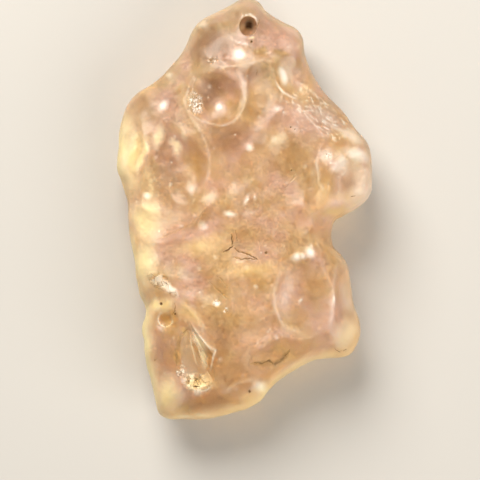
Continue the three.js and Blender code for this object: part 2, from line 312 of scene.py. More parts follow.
def on_glass(box):
    """Moves points of a box from -1 to 1 to their places on the glass. Returns the places, and how far each
    point has risen from the girdle: 1 at the middle of the front and -1 at the middle of the back."""
    u, v, w = box.T
    disc_x, disc_y = u * np.sqrt(1 - v * v / 2), v * np.sqrt(1 - u * u / 2)
    ring = np.minimum(np.hypot(disc_x, disc_y), 1)
    angle = np.arctan2(disc_y * GIRDLE_ASPECT, disc_x)
    climb = np.abs(w) * GIRDLE_ANGLE
    band = ring > 0.9999
    reach = np.where(band, np.cos(climb) ** ROUNDNESS, ring * FACE_REACH)
    rise = np.where(band, np.sin(climb) ** ROUNDNESS, (1 - reach ** (2 / ROUNDNESS)) ** (ROUNDNESS / 2))
    side = np.where(w < 0, -1, 1)
    wave = np.sin(9 * angle + side) * np.sin(4 * angle + 2 * side)
    dent = SIDE_DENT * rise * (1 - rise) * (1 + wave)
    even = np.interp(angle, TURN, even_radii, period=2 * pi)
    outer = np.interp(angle, TURN, girdle_radii, period=2 * pi)
    radius = reach * (even + (outer - even) * reach**3 - dent)
    x, y = radius * np.cos(angle), radius * np.sin(angle)
    girdle = GIRDLE_HEIGHT + (0.5 * np.sin(2 * angle + 0.8) + 0.25 * np.sin(5 * angle)) * reach**4
    grip = smoothstep(rise, 0, DISH_FADE)
    swell = FRONT_SWELL * (1 + HEAD_SWELL * smoothstep(y, *HEAD_RISE)) + roll(x, y)
    front_height = girdle + swell * rise - cut(FRONT_DISHES, x, y) * grip
    back_height = np.maximum(
        0, girdle - (BACK_SWELL + roll(y, x)) * rise + cut(BACK_DISHES, x, y) * grip
    )
    return np.stack([x, y, np.where(side > 0, front_height, back_height)], 1), rise * side


def parallel_edges(shape, axis):
    """The edges of the box that run along one of its axes."""
    return [e for e in shape.edges if abs((e.verts[0].co - e.verts[1].co).normalized()[axis]) > 0.9]


DIVISIONS = (128, 212, 16)  # across, along and round the girdle
slab = bmesh.new()
bmesh.ops.create_cube(slab, size=2)
for axis, pieces in enumerate(DIVISIONS):
    bmesh.ops.subdivide_edges(slab, edges=parallel_edges(slab, axis), cuts=pieces - 1, use_grid_fill=True)

# Its small marks, most of them a millimetre or less across
# Dimples and knobs: x, y, half width, half length, turn, depth (a knob's is negative), frost, which on many
# is a painted highlight
DIMPLES = [
    (-0.58, 15.23, 0.95, 0.9, 0, -0.12, 1.0),
    (-7.5, 13.4, 0.6, 0.6, 0, 0.08, 0.6),
    (-8.0, 10.3, 0.75, 0.65, 40, 0.1, 0.9),
    (-2.56, 10.12, 0.55, 0.48, 0, -0.1, 1.0),
    (3.75, 13.3, 0.75, 1.5, 12, -0.08, 1.0),
    (-9.6, 1.3, 0.9, 0.75, 0, -0.08, 1.0),
    (3.2, 10.0, 0.7, 0.5, 0, 0.1, 0.5),
    (2.9, 6.9, 0.75, 0.65, 30, 0.12, 0.7),
    (0.45, 6.1, 0.55, 0.45, 0, -0.08, 0.7),
    (8.2, 5.4, 0.6, 0.55, 0, 0.1, 0.9),
    (11.3, 5.6, 1.0, 0.4, -25, 0.1, 0.9),
    (10.6, 7.2, 0.9, 0.35, -12, 0.08, 0.7),
    (-1.45, -0.5, 0.9, 0.5, -15, -0.1, 0.9),
    (-4.2, -1.6, 0.7, 0.65, 0, 0.1, 0.6),
    (5.1, -4.75, 0.9, 0.65, 20, -0.12, 0.9),
    (5.75, -4.6, 0.5, 0.5, 0, -0.08, 0.8),
    (6.4, -4.15, 0.85, 0.7, -40, -0.12, 1.0),
    (6.5, -3.6, 0.35, 0.4, 0, -0.06, 0.6),
    (0.2, -6.1, 0.55, 0.5, 0, -0.06, 0.4),
    (1.05, -7.6, 0.38, 0.2, -20, 0.05, 0.8),
    (1.6, -17.8, 1.8, 0.7, -19, -0.42, 1.0),
    (-8.85, -14.2, 0.2, 0.3, 0, -0.05, 0.9),
    (8.8, -8.9, 0.2, 0.85, 4, -0.06, 0.9),
    (9.8, -5.2, 0.45, 0.4, 0, -0.06, 0.5),
    (5.44, -8.9, 0.32, 0.16, 35, 0.04, 0.8),
    (4.7, 8.0, 0.8, 0.75, 0, 0.15, 0.15),
    (0.1, 1.0, 0.3, 0.9, -10, 0.08, 0.7),
    (1.0, 1.2, 0.22, 0.6, 10, 0.06, 0.5),
    (11.4, 1.6, 0.45, 0.5, 0, 0.06, 0.6),
    (1.65, 15.4, 1.05, 0.45, 0, 0.18, 0),
    (3.7, 15.63, 0.9, 0.45, -8, 0.2, 0),
    (-4.8, 3.4, 0.6, 0.95, 0, 0.12, 0),
    (-1.96, 15.06, 0.32, 0.32, 0, 0.12, 0),
    (3.7, -5.6, 0.52, 0.5, 0, 0.14, 0),
    (2.5, -7.15, 0.4, 0.4, 0, 0.12, 0),
    (-3.4, -1.0, 0.28, 0.28, 0, 0.1, 0),
    (-5.5, -2.5, 0.24, 0.24, 0, 0.08, 0),
    (-7.82, -10.85, 0.9, 0.85, 0, 0.2, 0),
    (-12.1, 4.6, 0.7, 0.8, 0, 0.12, 0),
    (1.2, 11.4, 0.32, 0.3, 0, -0.07, 0),
    (1.1, 10.7, 0.3, 0.3, 0, 0.07, 0),
    (1.5, 10.1, 0.34, 0.28, 0, -0.06, 0),
    (1.3, 9.3, 0.3, 0.34, 0, 0.07, 0),
]
# Crests: height, half width, frost (the whiteness along them, partly a painted highlight on the ridge),
# points
CRESTS = [
    (0.07, 0.12, 0.22, [(-4.2, 14.5), (-5.4, 12.7), (-6.1, 10.7), (-5.4, 9.0), (-4.2, 7.4), (-3.6, 5.8),
                        (-3.5, 4.5), (-3.8, 2.9), (-4.5, 1.9), (-5.2, 0.8), (-5.7, -0.8)]),
    (0.08, 0.14, 0.25, [(-3.9, 14.2), (-2.3, 13.9), (-0.8, 14.2), (0.8, 14.5), (2.0, 14.8), (3.0, 14.5)]),
    (0.08, 0.12, 0.8, [(2.9, 12.9), (3.2, 12.2), (3.8, 11.5), (4.5, 11.15), (5.3, 10.9)]),
    (0.05, 0.12, 0.3, [(5.3, 10.9), (6.1, 11.6), (6.4, 12.9)]),
    (0.06, 0.3, 0.5, [(-0.7, 13.7), (-0.1, 12.4), (-0.1, 11.0), (-0.7, 9.4)]),
    (0.08, 0.18, 0.15, [(0.1, 13.3), (0.2, 11.5), (0.1, 9.8)]),
    (0.05, 0.12, 0.3, [(-4.4, 9.1), (-3.5, 8.5), (-2.3, 8.3), (-1.1, 8.6), (-0.3, 9.4)]),
    (0.1, 0.28, 0.3, [(3.9, -5.6), (3.5, -6.4), (2.95, -7.9), (2.95, -9.6), (3.55, -11.0), (4.6, -11.9),
                      (5.8, -12.2)]),
    (0.14, 0.3, 0.3, [(-6.6, -9.1), (-5.5, -9.8), (-4.6, -10.9), (-4.1, -12.4)]),
    (0.14, 0.13, 1.0, [(-5.4, -11.4), (-4.7, -12.3), (-4.0, -13.1), (-3.3, -13.9)]),
    (0.12, 0.27, 1.0, [(-5.3, -11.6), (-4.75, -12.6), (-4.2, -13.4), (-3.85, -14.3)]),
    (0.06, 0.07, 0.5, [(-5.5, -11.7), (-5.3, -13.4), (-4.8, -15.1), (-4.2, -15.8)]),
    (0.08, 0.08, 0.6, [(-5.3, -11.6), (-4.7, -13.3), (-4.2, -14.9), (-4.1, -15.7)]),
    (0.08, 0.09, 0.9, [(-3.6, -13.4), (-2.9, -13.9), (-3.2, -14.6), (-3.5, -16.1)]),
    (0.08, 0.11, 0.9, [(-6.1, -17.1), (-5.4, -17.4), (-4.8, -18.0), (-3.9, -17.9), (-3.1, -17.3)]),
    (0.1, 0.2, 0.3, [(-3.5, -18.6), (-2.1, -18.1), (-0.6, -17.1), (0.64, -16.86), (1.6, -17.2),
                     (1.98, -17.7)]),
    (0.06, 0.14, 0.9, [(-8.5, -20.3), (-6.1, -20.6), (-3.9, -20.45), (-1.7, -19.9)]),
    (0.08, 0.24, 0.3, [(9.2, -4.9), (8.9, -6.6), (8.7, -7.9), (8.6, -9.7), (8.5, -11.5), (8.8, -12.8),
                       (9.6, -13.6)]),
    (0.07, 0.12, 0.5, [(9.9, -5.0), (10.5, -6.6), (10.7, -8.4), (11.0, -10.4), (11.2, -12.2), (10.7, -13.3)]),
    # the rim of the small round pit, which runs past its start so that it closes
    (0.08, 0.1, 0.7, [(-7.5, -10.16), (-7.17, -10.55), (-7.17, -11.07), (-7.5, -11.46), (-8.0, -11.55),
                      (-8.44, -11.3), (-8.62, -10.81), (-8.44, -10.33), (-8.0, -10.07), (-7.5, -10.16),
                      (-7.17, -10.55), (-7.17, -11.07)]),
    (0.06, 0.12, 0.4, [(-10.2, -16.4), (-8.0, -16.6), (-6.6, -18.2), (-6.9, -19.6), (-7.6, -20.4)]),
    (0.06, 0.1, 0.45, [(7.6, 6.6), (7.0, 4.6), (7.3, 2.6), (8.2, 1.0)]),
    (0.05, 0.1, 0.4, [(10.0, 3.8), (9.3, 2.9), (9.2, 1.6), (10.0, 0.6)]),
    (0.04, 0.12, 0.4, [(5.6, 10.2), (6.1, 9.2), (7.1, 8.1), (7.9, 6.9)]),
    (0.04, 0.2, 0.4, [(7.6, 9.2), (8.6, 8.2), (10.2, 7.6), (11.3, 7.4)]),
    (0.08, 0.1, 0.9, [(-0.5, 18.85), (-0.1, 19.25), (0.5, 19.35), (1.1, 18.95), (1.2, 18.6)]),
    (0.06, 0.09, 0.7, [(-1.6, 17.0), (-0.8, 16.5), (0.1, 16.3), (0.7, 16.1)]),
]
# Cracks with iron in them: depth, half width, stain, points
CRACKS = [
    (0.1, 0.09, 1.0, [(-1.36, -2.41), (-1.3, -3.0), (-1.24, -3.62)]),
    (0.1, 0.1, 1.0, [(-1.24, -3.62), (-1.7, -4.0), (-2.22, -4.25)]),
    (0.1, 0.08, 1.0, [(-1.24, -3.62), (-0.67, -4.13), (0.28, -4.4), (1.3, -4.95)]),
    (0.08, 0.08, 0.9, [(-1.2, -4.65), (-0.41, -4.9), (0.28, -4.82), (1.3, -4.95)]),
    (0.06, 0.06, 0.7, [(-0.96, -2.07), (-0.76, -3.1)]),
    (0.06, 0.17, 0.8, [(0.88, -15.1), (1.65, -15.2), (2.34, -14.95), (2.95, -15.33), (3.55, -14.98),
                       (4.24, -14.2)]),
    (0.02, 0.5, 0.5, [(0.6, -15.2), (1.65, -15.2), (2.95, -15.3), (3.7, -14.8), (4.4, -13.9)]),
    (0.02, 0.55, 0.22, [(-5.3, -17.6), (-5.6, -18.6), (-6.1, -19.5), (-5.6, -20.2)]),
    (0.03, 0.1, 0.35, [(5.1, 4.12), (4.75, 3.1), (3.72, 1.71)]),
    (0.05, 0.06, 0.8, [(1.45, 18.76), (1.3, 18.3), (1.14, 18.0)]),
    (0.05, 0.06, 0.8, [(8.89, -13.78), (9.4, -14.12), (10.09, -13.86)]),
    (0.05, 0.06, 0.9, [(10.45, 1.3), (10.95, 1.35)]),
    (0.04, 0.06, 0.5, [(1.2, 13.8), (1.1, 13.2)]),
    (0.06, 0.09, 0.45, [(-3.54, -7.06), (-2.45, -8.14), (-1.86, -8.73)]),
    (0.05, 0.08, 0.4, [(-2.8, -6.5), (-2.2, -7.0), (-1.7, -7.8)]),
    (0.05, 0.08, 0.7, [(-6.9, -9.2), (-6.9, -9.9), (-7.2, -10.4)]),
    (0.03, 0.26, 0.45, [(-6.75, -15.4), (-6.8, -14.0), (-6.4, -12.6), (-5.7, -11.8)]),
    (0.06, 0.1, 1.0, [(-5.2, -17.45), (-4.8, -17.5), (-4.4, -17.5)]),
    (0.04, 0.1, 0.6, [(-8.2, -11.4), (-7.8, -11.5), (-7.35, -11.15)]),
    (0.03, 0.14, 0.2, [(-3.7, 0.6), (-4.3, -0.5), (-5.4, -1.5), (-6.9, -2.2), (-8.8, -3.0)]),
]
# Burst bubbles with dirt in them: x, y, radius
DIRTY_BUBBLES = [
    (0.62, 16.56, 0.13), (2.05, -4.25, 0.16), (0.45, -18.0, 0.14), (-8.28, -9.3, 0.15), (4.55, 3.87, 0.09),
    (4.5, 8.1, 0.07), (4.9, 7.9, 0.06), (-6.9, -10.3, 0.1), (-8.9, -14.9, 0.07),
]
DIRTY_BUBBLE_DEPTH = 0.15
# Burst bubbles with nothing in them: how many on the front and on the back, and their smallest and largest
BUBBLES = 170
BUBBLE_FIELD = ((-12, -20), (12, 20))
BUBBLE_RADII = (0.14, 0.42)
BUBBLE_SHAPES = ((0.7, -90, -0.25), (1.4, 90, 0.35))  # least and most stretch, turn, depth as a share
BUBBLE_FROST = 0.6
# Shattered spots: x, y, half width, half length, turn, roughness, cells in a millimetre
SHATTERED = [
    (-4.9, 10.5, 0.8, 1.4, 10, 0.12, 6),
    (-8.5, -7.05, 1.4, 0.8, -32, 0.3, 1.7),
    (-7.3, -7.95, 1.0, 0.45, -42, 0.15, 1.2),
    (-4.8, -17.1, 1.7, 1.05, -15, 0.2, 2.3),
    (-6.3, -15.9, 0.7, 0.5, 60, 0.15, 4),
    (8.2, 5.3, 0.5, 0.45, 0, 0.08, 5),
    (-3.2, 14.75, 0.55, 0.4, 0, 0.08, 5),
    (-2.8, -9.2, 0.45, 0.4, 5, 0.06, 3),
    (-1.9, -9.9, 0.35, 0.3, 40, 0.06, 3),
]
# Where sand has scratched it: x, y, half width, half length, turn, how many scratches
SCRATCHED = [(7.6, 9.4, 1.3, 3.2, 50, 240), (9.6, 4.6, 1.1, 1.8, -70, 30), (-4.9, 10.2, 0.5, 1.0, 0, 8)]
SCRATCH_HALF_WIDTH = 0.06
SCRATCH_LENGTHS = (0.3, 1.1)
SCRATCH_SCATTER = 22  # degrees
SCRATCH_FROST = (0.2, 0.8)
SCRATCH_DIRT = (0.05, 0.2)
# The broken pocket: each wall is a line with the pocket on its left, and a slope
POCKET_WALLS = [
    (-6.85, -13.6, -6.6, -15.4, 0.75),
    (-6.6, -15.4, -6.2, -17.4, 0.6),
    (-6.2, -17.4, -4.6, -18.1, 0.9),
    (-4.6, -18.1, -3.1, -16.9, 1.1),
    (-3.1, -16.9, -3.2, -14.2, 2.2),
    (-3.2, -14.2, -5.4, -11.2, 2.2),
    (-5.4, -11.2, -6.6, -12.5, 0.9),
    (-6.6, -12.5, -6.85, -13.6, 0.8),
]
POCKET_DEPTH = 1.35
# The smooth break that slopes down across the pocket: a point on it, its depth there, its fall to the right
POCKET_FACET = (-5.6, -13.9, 0.4, 0.5)
POCKET_RIBS = 0.07
# The pit in the head: its rim, its deepest point, its depth, the reach of the painted shadow round its
# deepest point, and the darkness of its walls
PIT_RIM = (0.3, 18.12)
PIT_RADII = (0.86, 1.0)
PIT_BOTTOM = (0.4, 18.35)
PIT_DEPTH = 2.7
PIT_DARK_RADII = (0.5, 0.6)
PIT_WALL_DARKNESS = 0.15
# How far the surface has risen from the girdle where its marks start to show, and where they show in full
FACE_FADE = (0.05, 0.4)
# The back takes the hollows of the same marks, less deep, and keeps them off the flat that it rests on
BACK_SHARE = 0.5
REST_FADE = (0.02, 0.6)
HOLLOW_DEPTHS = (0.1, 1.0)  # the cut where a dish starts to take brown painted shade, and where it takes the most
# How far and how quickly the outlines of marks, cracks and clouds stray
STRAY = (0.1, 2.3)
CRACK_STRAY = (0.04, 11)
CLOUD_STRAYS = [(0.3, 1.3), (0.12, 4.1)]


def mound(out):
    """A smooth mound: 1 in the middle of an oval and 0 from its edge on."""
    return np.maximum(0, 1 - out**2) ** 2


def bell(away, half_width):
    return np.exp(-((away / half_width) ** 2))


def from_line(x, y, points):
    """How far points are from a line, with the line's ends drawn in to nothing."""
    nearest = np.full_like(x, 99.0)
    share = np.zeros_like(x)
    points = np.array(points)
    lengths = np.hypot(*np.diff(points, axis=0).T)
    done = 0
    for (x1, y1), (x2, y2), length in zip(points, points[1:], lengths):
        t = np.clip(((x - x1) * (x2 - x1) + (y - y1) * (y2 - y1)) / length**2, 0, 1)
        away = np.hypot(x - x1 - t * (x2 - x1), y - y1 - t * (y2 - y1))
        share = np.where(away < nearest, (done + t * length) / lengths.sum(), share)
        nearest = np.minimum(nearest, away)
        done += length
    return nearest, np.sqrt(np.sin(pi * np.clip(share, 0.02, 0.98)))


def in_pocket(x, y):
    """The depth of the broken pocket."""
    depth = np.full_like(x, POCKET_DEPTH)
    for x1, y1, x2, y2, slope in POCKET_WALLS:
        from_wall = ((x2 - x1) * (y - y1) - (y2 - y1) * (x - x1)) / np.hypot(x2 - x1, y2 - y1)
        depth = np.minimum(depth, slope * from_wall)
    px, py, facet_depth, fall = POCKET_FACET
    facet = facet_depth + fall * (x - px)
    ribs = POCKET_RIBS * np.sin(17 * (x - px) + 9 * (y - py)) * smoothstep(x + 0.55 * y, -12.9, -12.2)
    return np.maximum(0, np.minimum(depth, facet) + np.minimum(depth, 1) * ribs)


def warped(x, y, amount, pace):
    """Points shifted a little this way and that, so that what is drawn by them is irregular."""
    return (
        x + amount * np.sin(pace * (y + 0.6 * x) + 1.3) * np.cos(0.7 * pace * x),
        y + amount * np.sin(pace * (x - 0.5 * y) + 0.4) * np.cos(0.8 * pace * y + 2),
    )


def finely_marked(x, y):
    """Where the marks are so small that the surface is divided three times finer."""
    fine = (oval(x, y, *PIT_RIM, *PIT_RADII) < 1.3) | (in_pocket(x, y) > 0)
    for _, _, _, points in CRACKS:
        fine |= from_line(x, y, points)[0] < 0.3
    for cx, cy, radius in DIRTY_BUBBLES:
        fine |= oval(x, y, cx, cy, radius, radius) < 2
    for *spot, _, _ in SHATTERED:
        fine |= oval(x, y, *spot) < 1
    for *spot, _ in SCRATCHED:
        fine |= oval(x, y, *spot) < 1.1
    return fine


face_places, face_rises = on_glass(np.array([face.calc_center_median() for face in slab.faces]))
fine_faces = finely_marked(face_places[:, 0], face_places[:, 1]) & (face_rises > 0)
slab.faces.ensure_lookup_table()
fine_edges = dict.fromkeys(edge for i in np.flatnonzero(fine_faces) for edge in slab.faces[i].edges)
bmesh.ops.subdivide_edges(slab, edges=list(fine_edges), cuts=2, use_grid_fill=True)
for face in slab.faces:
    face.smooth = True
glass_mesh = bpy.data.meshes.new("glass")
slab.to_mesh(glass_mesh)

box = np.empty(len(glass_mesh.vertices) * 3)
glass_mesh.vertices.foreach_get("co", box)
place, risen = on_glass(box.reshape(-1, 3))
x, y, z = place.T

# The marks are cut one after the other, and each leaves its height, its frost and its dirt; on dimples and
# crests the frost is partly a painted highlight
hollow = smoothstep(cut(FRONT_DISHES, x, y), *HOLLOW_DEPTHS)
height = -in_pocket(x, y)
frost_and_painted_light = np.zeros_like(x)
dirt_and_pit_shadow = np.zeros_like(x)
uneven = warped(x, y, *STRAY)
ragged = warped(x, y, *CRACK_STRAY)
for *spot, depth, white_frost_and_highlight in DIMPLES:
    there = mound(oval(*uneven, *spot))
    height -= depth * there
    frost_and_painted_light = np.maximum(frost_and_painted_light, white_frost_and_highlight * there)
for crest_height, half_width, white_frost_and_highlight, points in CRESTS:
    away, taper = from_line(x, y, points)
    there = bell(away, half_width) * taper
    height += crest_height * there
    frost_and_painted_light = np.maximum(frost_and_painted_light, white_frost_and_highlight * there)
for depth, half_width, iron_in_it, points in CRACKS:
    away, taper = from_line(*ragged, points)
    there = smoothstep(-away, -half_width * taper, -0.3 * half_width * taper)
    height -= depth * there
    dirt_and_pit_shadow = np.maximum(dirt_and_pit_shadow, iron_in_it * there)
scatter = np.random.default_rng(29)
for _ in range(BUBBLES):
    cx, cy = scatter.uniform(*BUBBLE_FIELD)
    radius = BUBBLE_RADII[0] + (BUBBLE_RADII[1] - BUBBLE_RADII[0]) * scatter.random() ** 2
    stretch, turn, depth = scatter.uniform(*BUBBLE_SHAPES)
    there = mound(oval(*uneven, cx, cy, radius * stretch, radius / stretch, turn))
    height -= depth * radius * there
    frost_and_painted_light = np.maximum(frost_and_painted_light, scatter.random() ** 2 * BUBBLE_FROST * there)
for cx, cy, half_width, half_length, turn, scratches in SCRATCHED:
    for i in range(scratches):
        across, along = scatter.uniform(-1, 1, 2) * (half_width, half_length)
        way = radians(turn + 90 + scatter.normal(0, SCRATCH_SCATTER))
        start = Vector((cx + across * cos(radians(turn)) - along * sin(radians(turn)),
                        cy + across * sin(radians(turn)) + along * cos(radians(turn))))
        end = start + Vector((cos(way), sin(way))) * scatter.uniform(*SCRATCH_LENGTHS)
        away, taper = from_line(*uneven, [start, end])
        there = bell(away, SCRATCH_HALF_WIDTH) * taper
        if i % 3 == 0:  # every third scratch holds dirt, and the others are white
            dirt_and_pit_shadow = np.maximum(dirt_and_pit_shadow, scatter.uniform(*SCRATCH_DIRT) * there)
        else:
            frost_and_painted_light = np.maximum(frost_and_painted_light, scatter.uniform(*SCRATCH_FROST) * there)
for cx, cy, radius in DIRTY_BUBBLES:
    there = mound(oval(x, y, cx, cy, radius, radius) * 0.7)
    height -= DIRTY_BUBBLE_DEPTH * there
    dirt_and_pit_shadow = np.maximum(dirt_and_pit_shadow, np.minimum(1, 1.5 * there))
for *spot, roughness, cells in SHATTERED:
    out = oval(x, y, *spot)
    for i in np.flatnonzero((out < 1) & (risen > 0)):
        point = Vector((x[i], y[i], 0)) * cells
        distances, hearts = noise.voronoi(point)
        fade = 1 - out[i] ** 3
        tilt = noise.cell_vector(hearts[0] * 7)
        level = tilt.z - 0.5 + (point - hearts[0]).dot(tilt - Vector((0.5, 0.5, 0.5))) * 2
        crack = max(0, 1 - (distances[1] - distances[0]) * 7)
        height[i] += roughness * fade * level
        frost_and_painted_light[i] = max(frost_and_painted_light[i], fade * min(1, max(0, 1.8 * tilt.x - 0.3)))
        dirt_and_pit_shadow[i] = max(dirt_and_pit_shadow[i], fade * (tilt.y > 0.4) * crack)

on_front = smoothstep(risen, *FACE_FADE)
on_back = smoothstep(-risen, *FACE_FADE) * smoothstep(z, *REST_FADE)
z += height * on_front + BACK_SHARE * np.minimum(height, 0) * on_back

# The pit: the surface inside its rim is drawn down to an egg-shaped hollow, dark with painted shadow but for
# its lower wall
pit_out = oval(x, y, *PIT_RIM, *PIT_RADII)
in_pit = (pit_out < 1) & (risen > 0)
direction = np.arctan2((y - PIT_RIM[1]) / PIT_RADII[1], (x - PIT_RIM[0]) / PIT_RADII[0])
wall = 1 - (1 - np.minimum(pit_out, 1)) ** 2.2
for axis, (rim, bottom, radius, round_about) in enumerate(
    zip(PIT_RIM, PIT_BOTTOM, PIT_RADII, (np.cos(direction), np.sin(direction)))
):
    centre = bottom + (rim - bottom) * wall
    place[:, axis] = np.where(in_pit, centre + radius * wall * round_about, place[:, axis])
z -= np.where(in_pit, PIT_DEPTH * (1 - wall**3) ** 0.6, 0)
shadowed = 1 - smoothstep(oval(x, y, *PIT_BOTTOM, *PIT_DARK_RADII), 0.4, 1.3)
dirt_and_pit_shadow = np.maximum(dirt_and_pit_shadow, in_pit * (PIT_WALL_DARKNESS + (1 - PIT_WALL_DARKNESS) * shadowed))

# Clouds in the glass, with painted light: x, y, half width, half length, turn, milk (partly painted highlight
# and glow), yellow (iron stain, and painted glow near the margin), brown (painted shade)
CLOUDS_AND_PAINTED_LIGHT = [
    (-10.9, 10.2, 2.8, 1.9, -30, 0, 0.25, 1.0),
    (-8.3, 6.4, 0.9, 3.0, 4, 0, 0, 0.9),
    (-7.2, 4.2, 1.8, 3.2, 6, 0, 0, 0.7),
    (-9.2, 4.4, 0.3, 1.6, 4, 0, 0.3, 0.9),
    (-7.0, 6.3, 0.45, 1.3, 28, 0.65, 0.6, 0),
    (-8.6, 7.2, 0.5, 1.4, -12, 0.6, 0.6, 0),
    (-6.0, 7.0, 0.4, 0.9, 10, 0.5, 0.4, 0),
    (-7.2, 12.9, 0.9, 1.1, -30, 0.25, 0, 0.2),
    (-4.9, 3.8, 0.8, 1.1, 0, 0, 0.6, 1.0),
    (-5.3, 2.2, 0.6, 0.6, -40, 0.6, 0, 0),
    (-3.5, 1.0, 0.7, 0.8, -20, 0.5, 0.2, 0),
    (-9.3, 2.2, 0.5, 2.2, 2, 0.3, 0.6, 0),
    (-8.2, -1.2, 3.4, 1.5, 27, 0.3, 0.35, 0),
    (-10.9, 5.4, 1.2, 3.0, -6, 0.5, 1.0, 0),
    (-11.2, 6.6, 0.5, 2.2, -4, 0.9, 0.8, 0),
    (-10.2, 5.2, 0.45, 2.4, -8, 0.75, 0.9, 0),
    (-12.0, 3.9, 0.5, 0.7, 0, 0, 0.8, 0.9),
    (-9.9, -1.0, 2.3, 2.8, 0, 0.75, 0.85, 0),
    (-10.2, -5.6, 1.8, 3.6, -8, 0.9, 0.9, 0),
    (0.6, -5.9, 3.0, 1.1, 4, 0.25, 1.0, 0.1),
    (-4.4, -3.6, 3.4, 1.1, 10, 0.25, 0.8, 0),
    (-4.4, -7.4, 2.4, 1.7, -10, 0, 0, 0.3),
    (-5.8, -6.5, 1.1, 0.7, -20, 0.35, 0.1, 0),
    (-3.4, -8.6, 1.2, 0.8, 10, 0.25, 0, 0),
    (-7.75, -7.5, 1.3, 0.4, -42, 1.0, 0.2, 0),
    (-1.7, 7.0, 3.2, 2.0, 10, 0, 0, 1.0),
    (1.2, 7.2, 1.6, 1.6, 0, 0, 0, 0.7),
    (-3.4, 12.0, 2.0, 1.8, 20, 0, 0, 1.0),
    (-1.5, 10.3, 0.6, 0.5, 0, 0, 0.5, 0.8),
    (-0.2, 1.6, 0.9, 1.5, -12, 0.15, 0.1, 0.4),
    (4.4, 5.4, 2.6, 2.8, 0, 0, 0.2, 0.6),
    (2.4, 10.2, 3.4, 3.0, 0, 0, 0, 0.5),
    (6.6, 10.4, 2.0, 3.0, 20, 0, 0, 0.4),
    (3.2, 6.6, 0.9, 1.2, 10, 0.5, 0.3, 0),
    (7.8, 2.2, 1.1, 3.0, 0, 0, 0.7, 0.5),
    (10.6, 7.3, 1.6, 0.7, -12, 0.6, 0, 0),
    (9.4, 4.4, 1.1, 1.4, 10, 0.75, 0, 0),
    (8.2, 5.3, 0.7, 0.7, 0, 0.6, 0, 0),
    (11.2, 5.4, 1.5, 1.1, -15, 0.85, 0, 0),
    (6.0, 10.4, 1.8, 3.0, 25, 0.2, 0, 0.2),
    (11.4, 1.6, 0.8, 0.9, 0, 0.7, 0, 0),
    (7.6, 9.3, 2.9, 1.1, -38, 0.3, 0, 0.7),
    (10.4, 2.6, 1.0, 1.0, 20, 0, 0, 1.0),
    (8.8, -0.2, 1.6, 0.9, 0, 0.3, 0.9, 0),
    (6.3, 12.4, 0.9, 2.6, -20, 0, 0.5, 0.5),
    (-3.4, 16.6, 2.8, 2.6, 0, 0, 0, 1.0),
    (0.6, 18.6, 3.0, 2.4, 0, 0, 0, 0.5),
    (-4.2, 18.3, 0.9, 0.5, 10, 0.5, 0, 0),
    (0.6, 13.6, 2.2, 0.9, 0, 0, 0, 0.9),
    (1.7, 12.2, 1.4, 2.0, 0, 0.2, 0, 0.3),
    (4.2, 13.4, 1.0, 1.6, 12, 0.35, 0, 0),
    (1.7, 15.4, 1.1, 0.45, 0, 0, 0.7, 1.0),
    (3.7, 15.6, 1.0, 0.45, -8, 0, 0.5, 1.0),
    (-2.6, 9.4, 1.5, 0.6, 0, 0.3, 0, 0),
    (-0.6, 19.5, 0.35, 0.35, 0, 0, 0.2, 1.0),
    (0.5, 17.0, 0.35, 0.2, 0, 0.5, 0.7, 0),
    (6.3, -8.4, 1.9, 2.8, -4, 0, 0, 0.5),
    (3.9, -8.8, 0.9, 2.8, -4, 0.35, 0, 0),
    (1.6, -17.8, 1.7, 0.7, -19, 1.0, 0, 0),
    (0.4, -11.2, 2.6, 2.8, 0, 0, 0.5, 0.3),
    (-2.6, -12.6, 1.6, 2.6, 0, 0, 0.1, 0.9),
    (-3.4, -19.1, 3.2, 1.1, 5, 0, 0.2, 1.0),
    (-0.5, -16.2, 3.6, 2.4, 0, 0, 0.3, 0.9),
    (-3.0, -14.2, 1.4, 3.4, 0, 0, 0.1, 0.9),
    (-7.8, -18.8, 1.7, 2.4, 0, 0.75, 0.9, 0),
    (0.6, -18.8, 1.6, 1.3, 25, 0.2, 0.9, 0.2),
    (-8.0, -15.2, 1.1, 2.8, 6, 0, 0, 0.35),
    (-9.0, -9.4, 1.1, 1.1, -15, 0.8, 1.0, 0),
    (-7.8, -9.4, 1.3, 1.0, -15, 0.5, 1.0, 0.1),
    (-7.85, -10.85, 0.75, 0.75, 0, 0, 1.0, 0.5),
    (-6.9, -10.2, 0.35, 0.9, 8, 0, 1.0, 0.8),
    (-5.3, -10.4, 0.7, 2.1, 38, 0.2, 0.9, 0.2),
    (-4.9, -14.2, 3.0, 3.6, 10, 0, 0.4, 0.8),
    (-6.5, -14.2, 0.5, 1.3, 4, 0, 1.0, 0.8),
    (-6.0, -12.1, 0.5, 0.6, 40, 0, 1.0, 0.7),
    (-5.4, -14.0, 1.3, 2.8, 14, 0, 0.55, 1.0),
    (-3.9, -14.8, 0.5, 1.2, 0, 0.9, 0.7, 0),
    (-4.35, -13.2, 0.45, 1.7, 36, 1.0, 0.7, 0),
    (-4.7, -17.0, 1.6, 1.1, -15, 0.4, 0.9, 0.1),
    (10.2, -12.6, 1.6, 2.0, 0, 0.6, 0.5, 0),
    (10.3, -8.6, 1.2, 3.0, 6, 0.4, 0.1, 0),
    (2.6, -14.6, 2.0, 0.8, 15, 0, 0.7, 0.9),
    (-0.6, 0.0, 4.0, 1.0, 10, 0, 0.2, 0.5),
    (-4.4, -0.9, 2.0, 0.5, 30, 0, 0.3, 1.0),
]
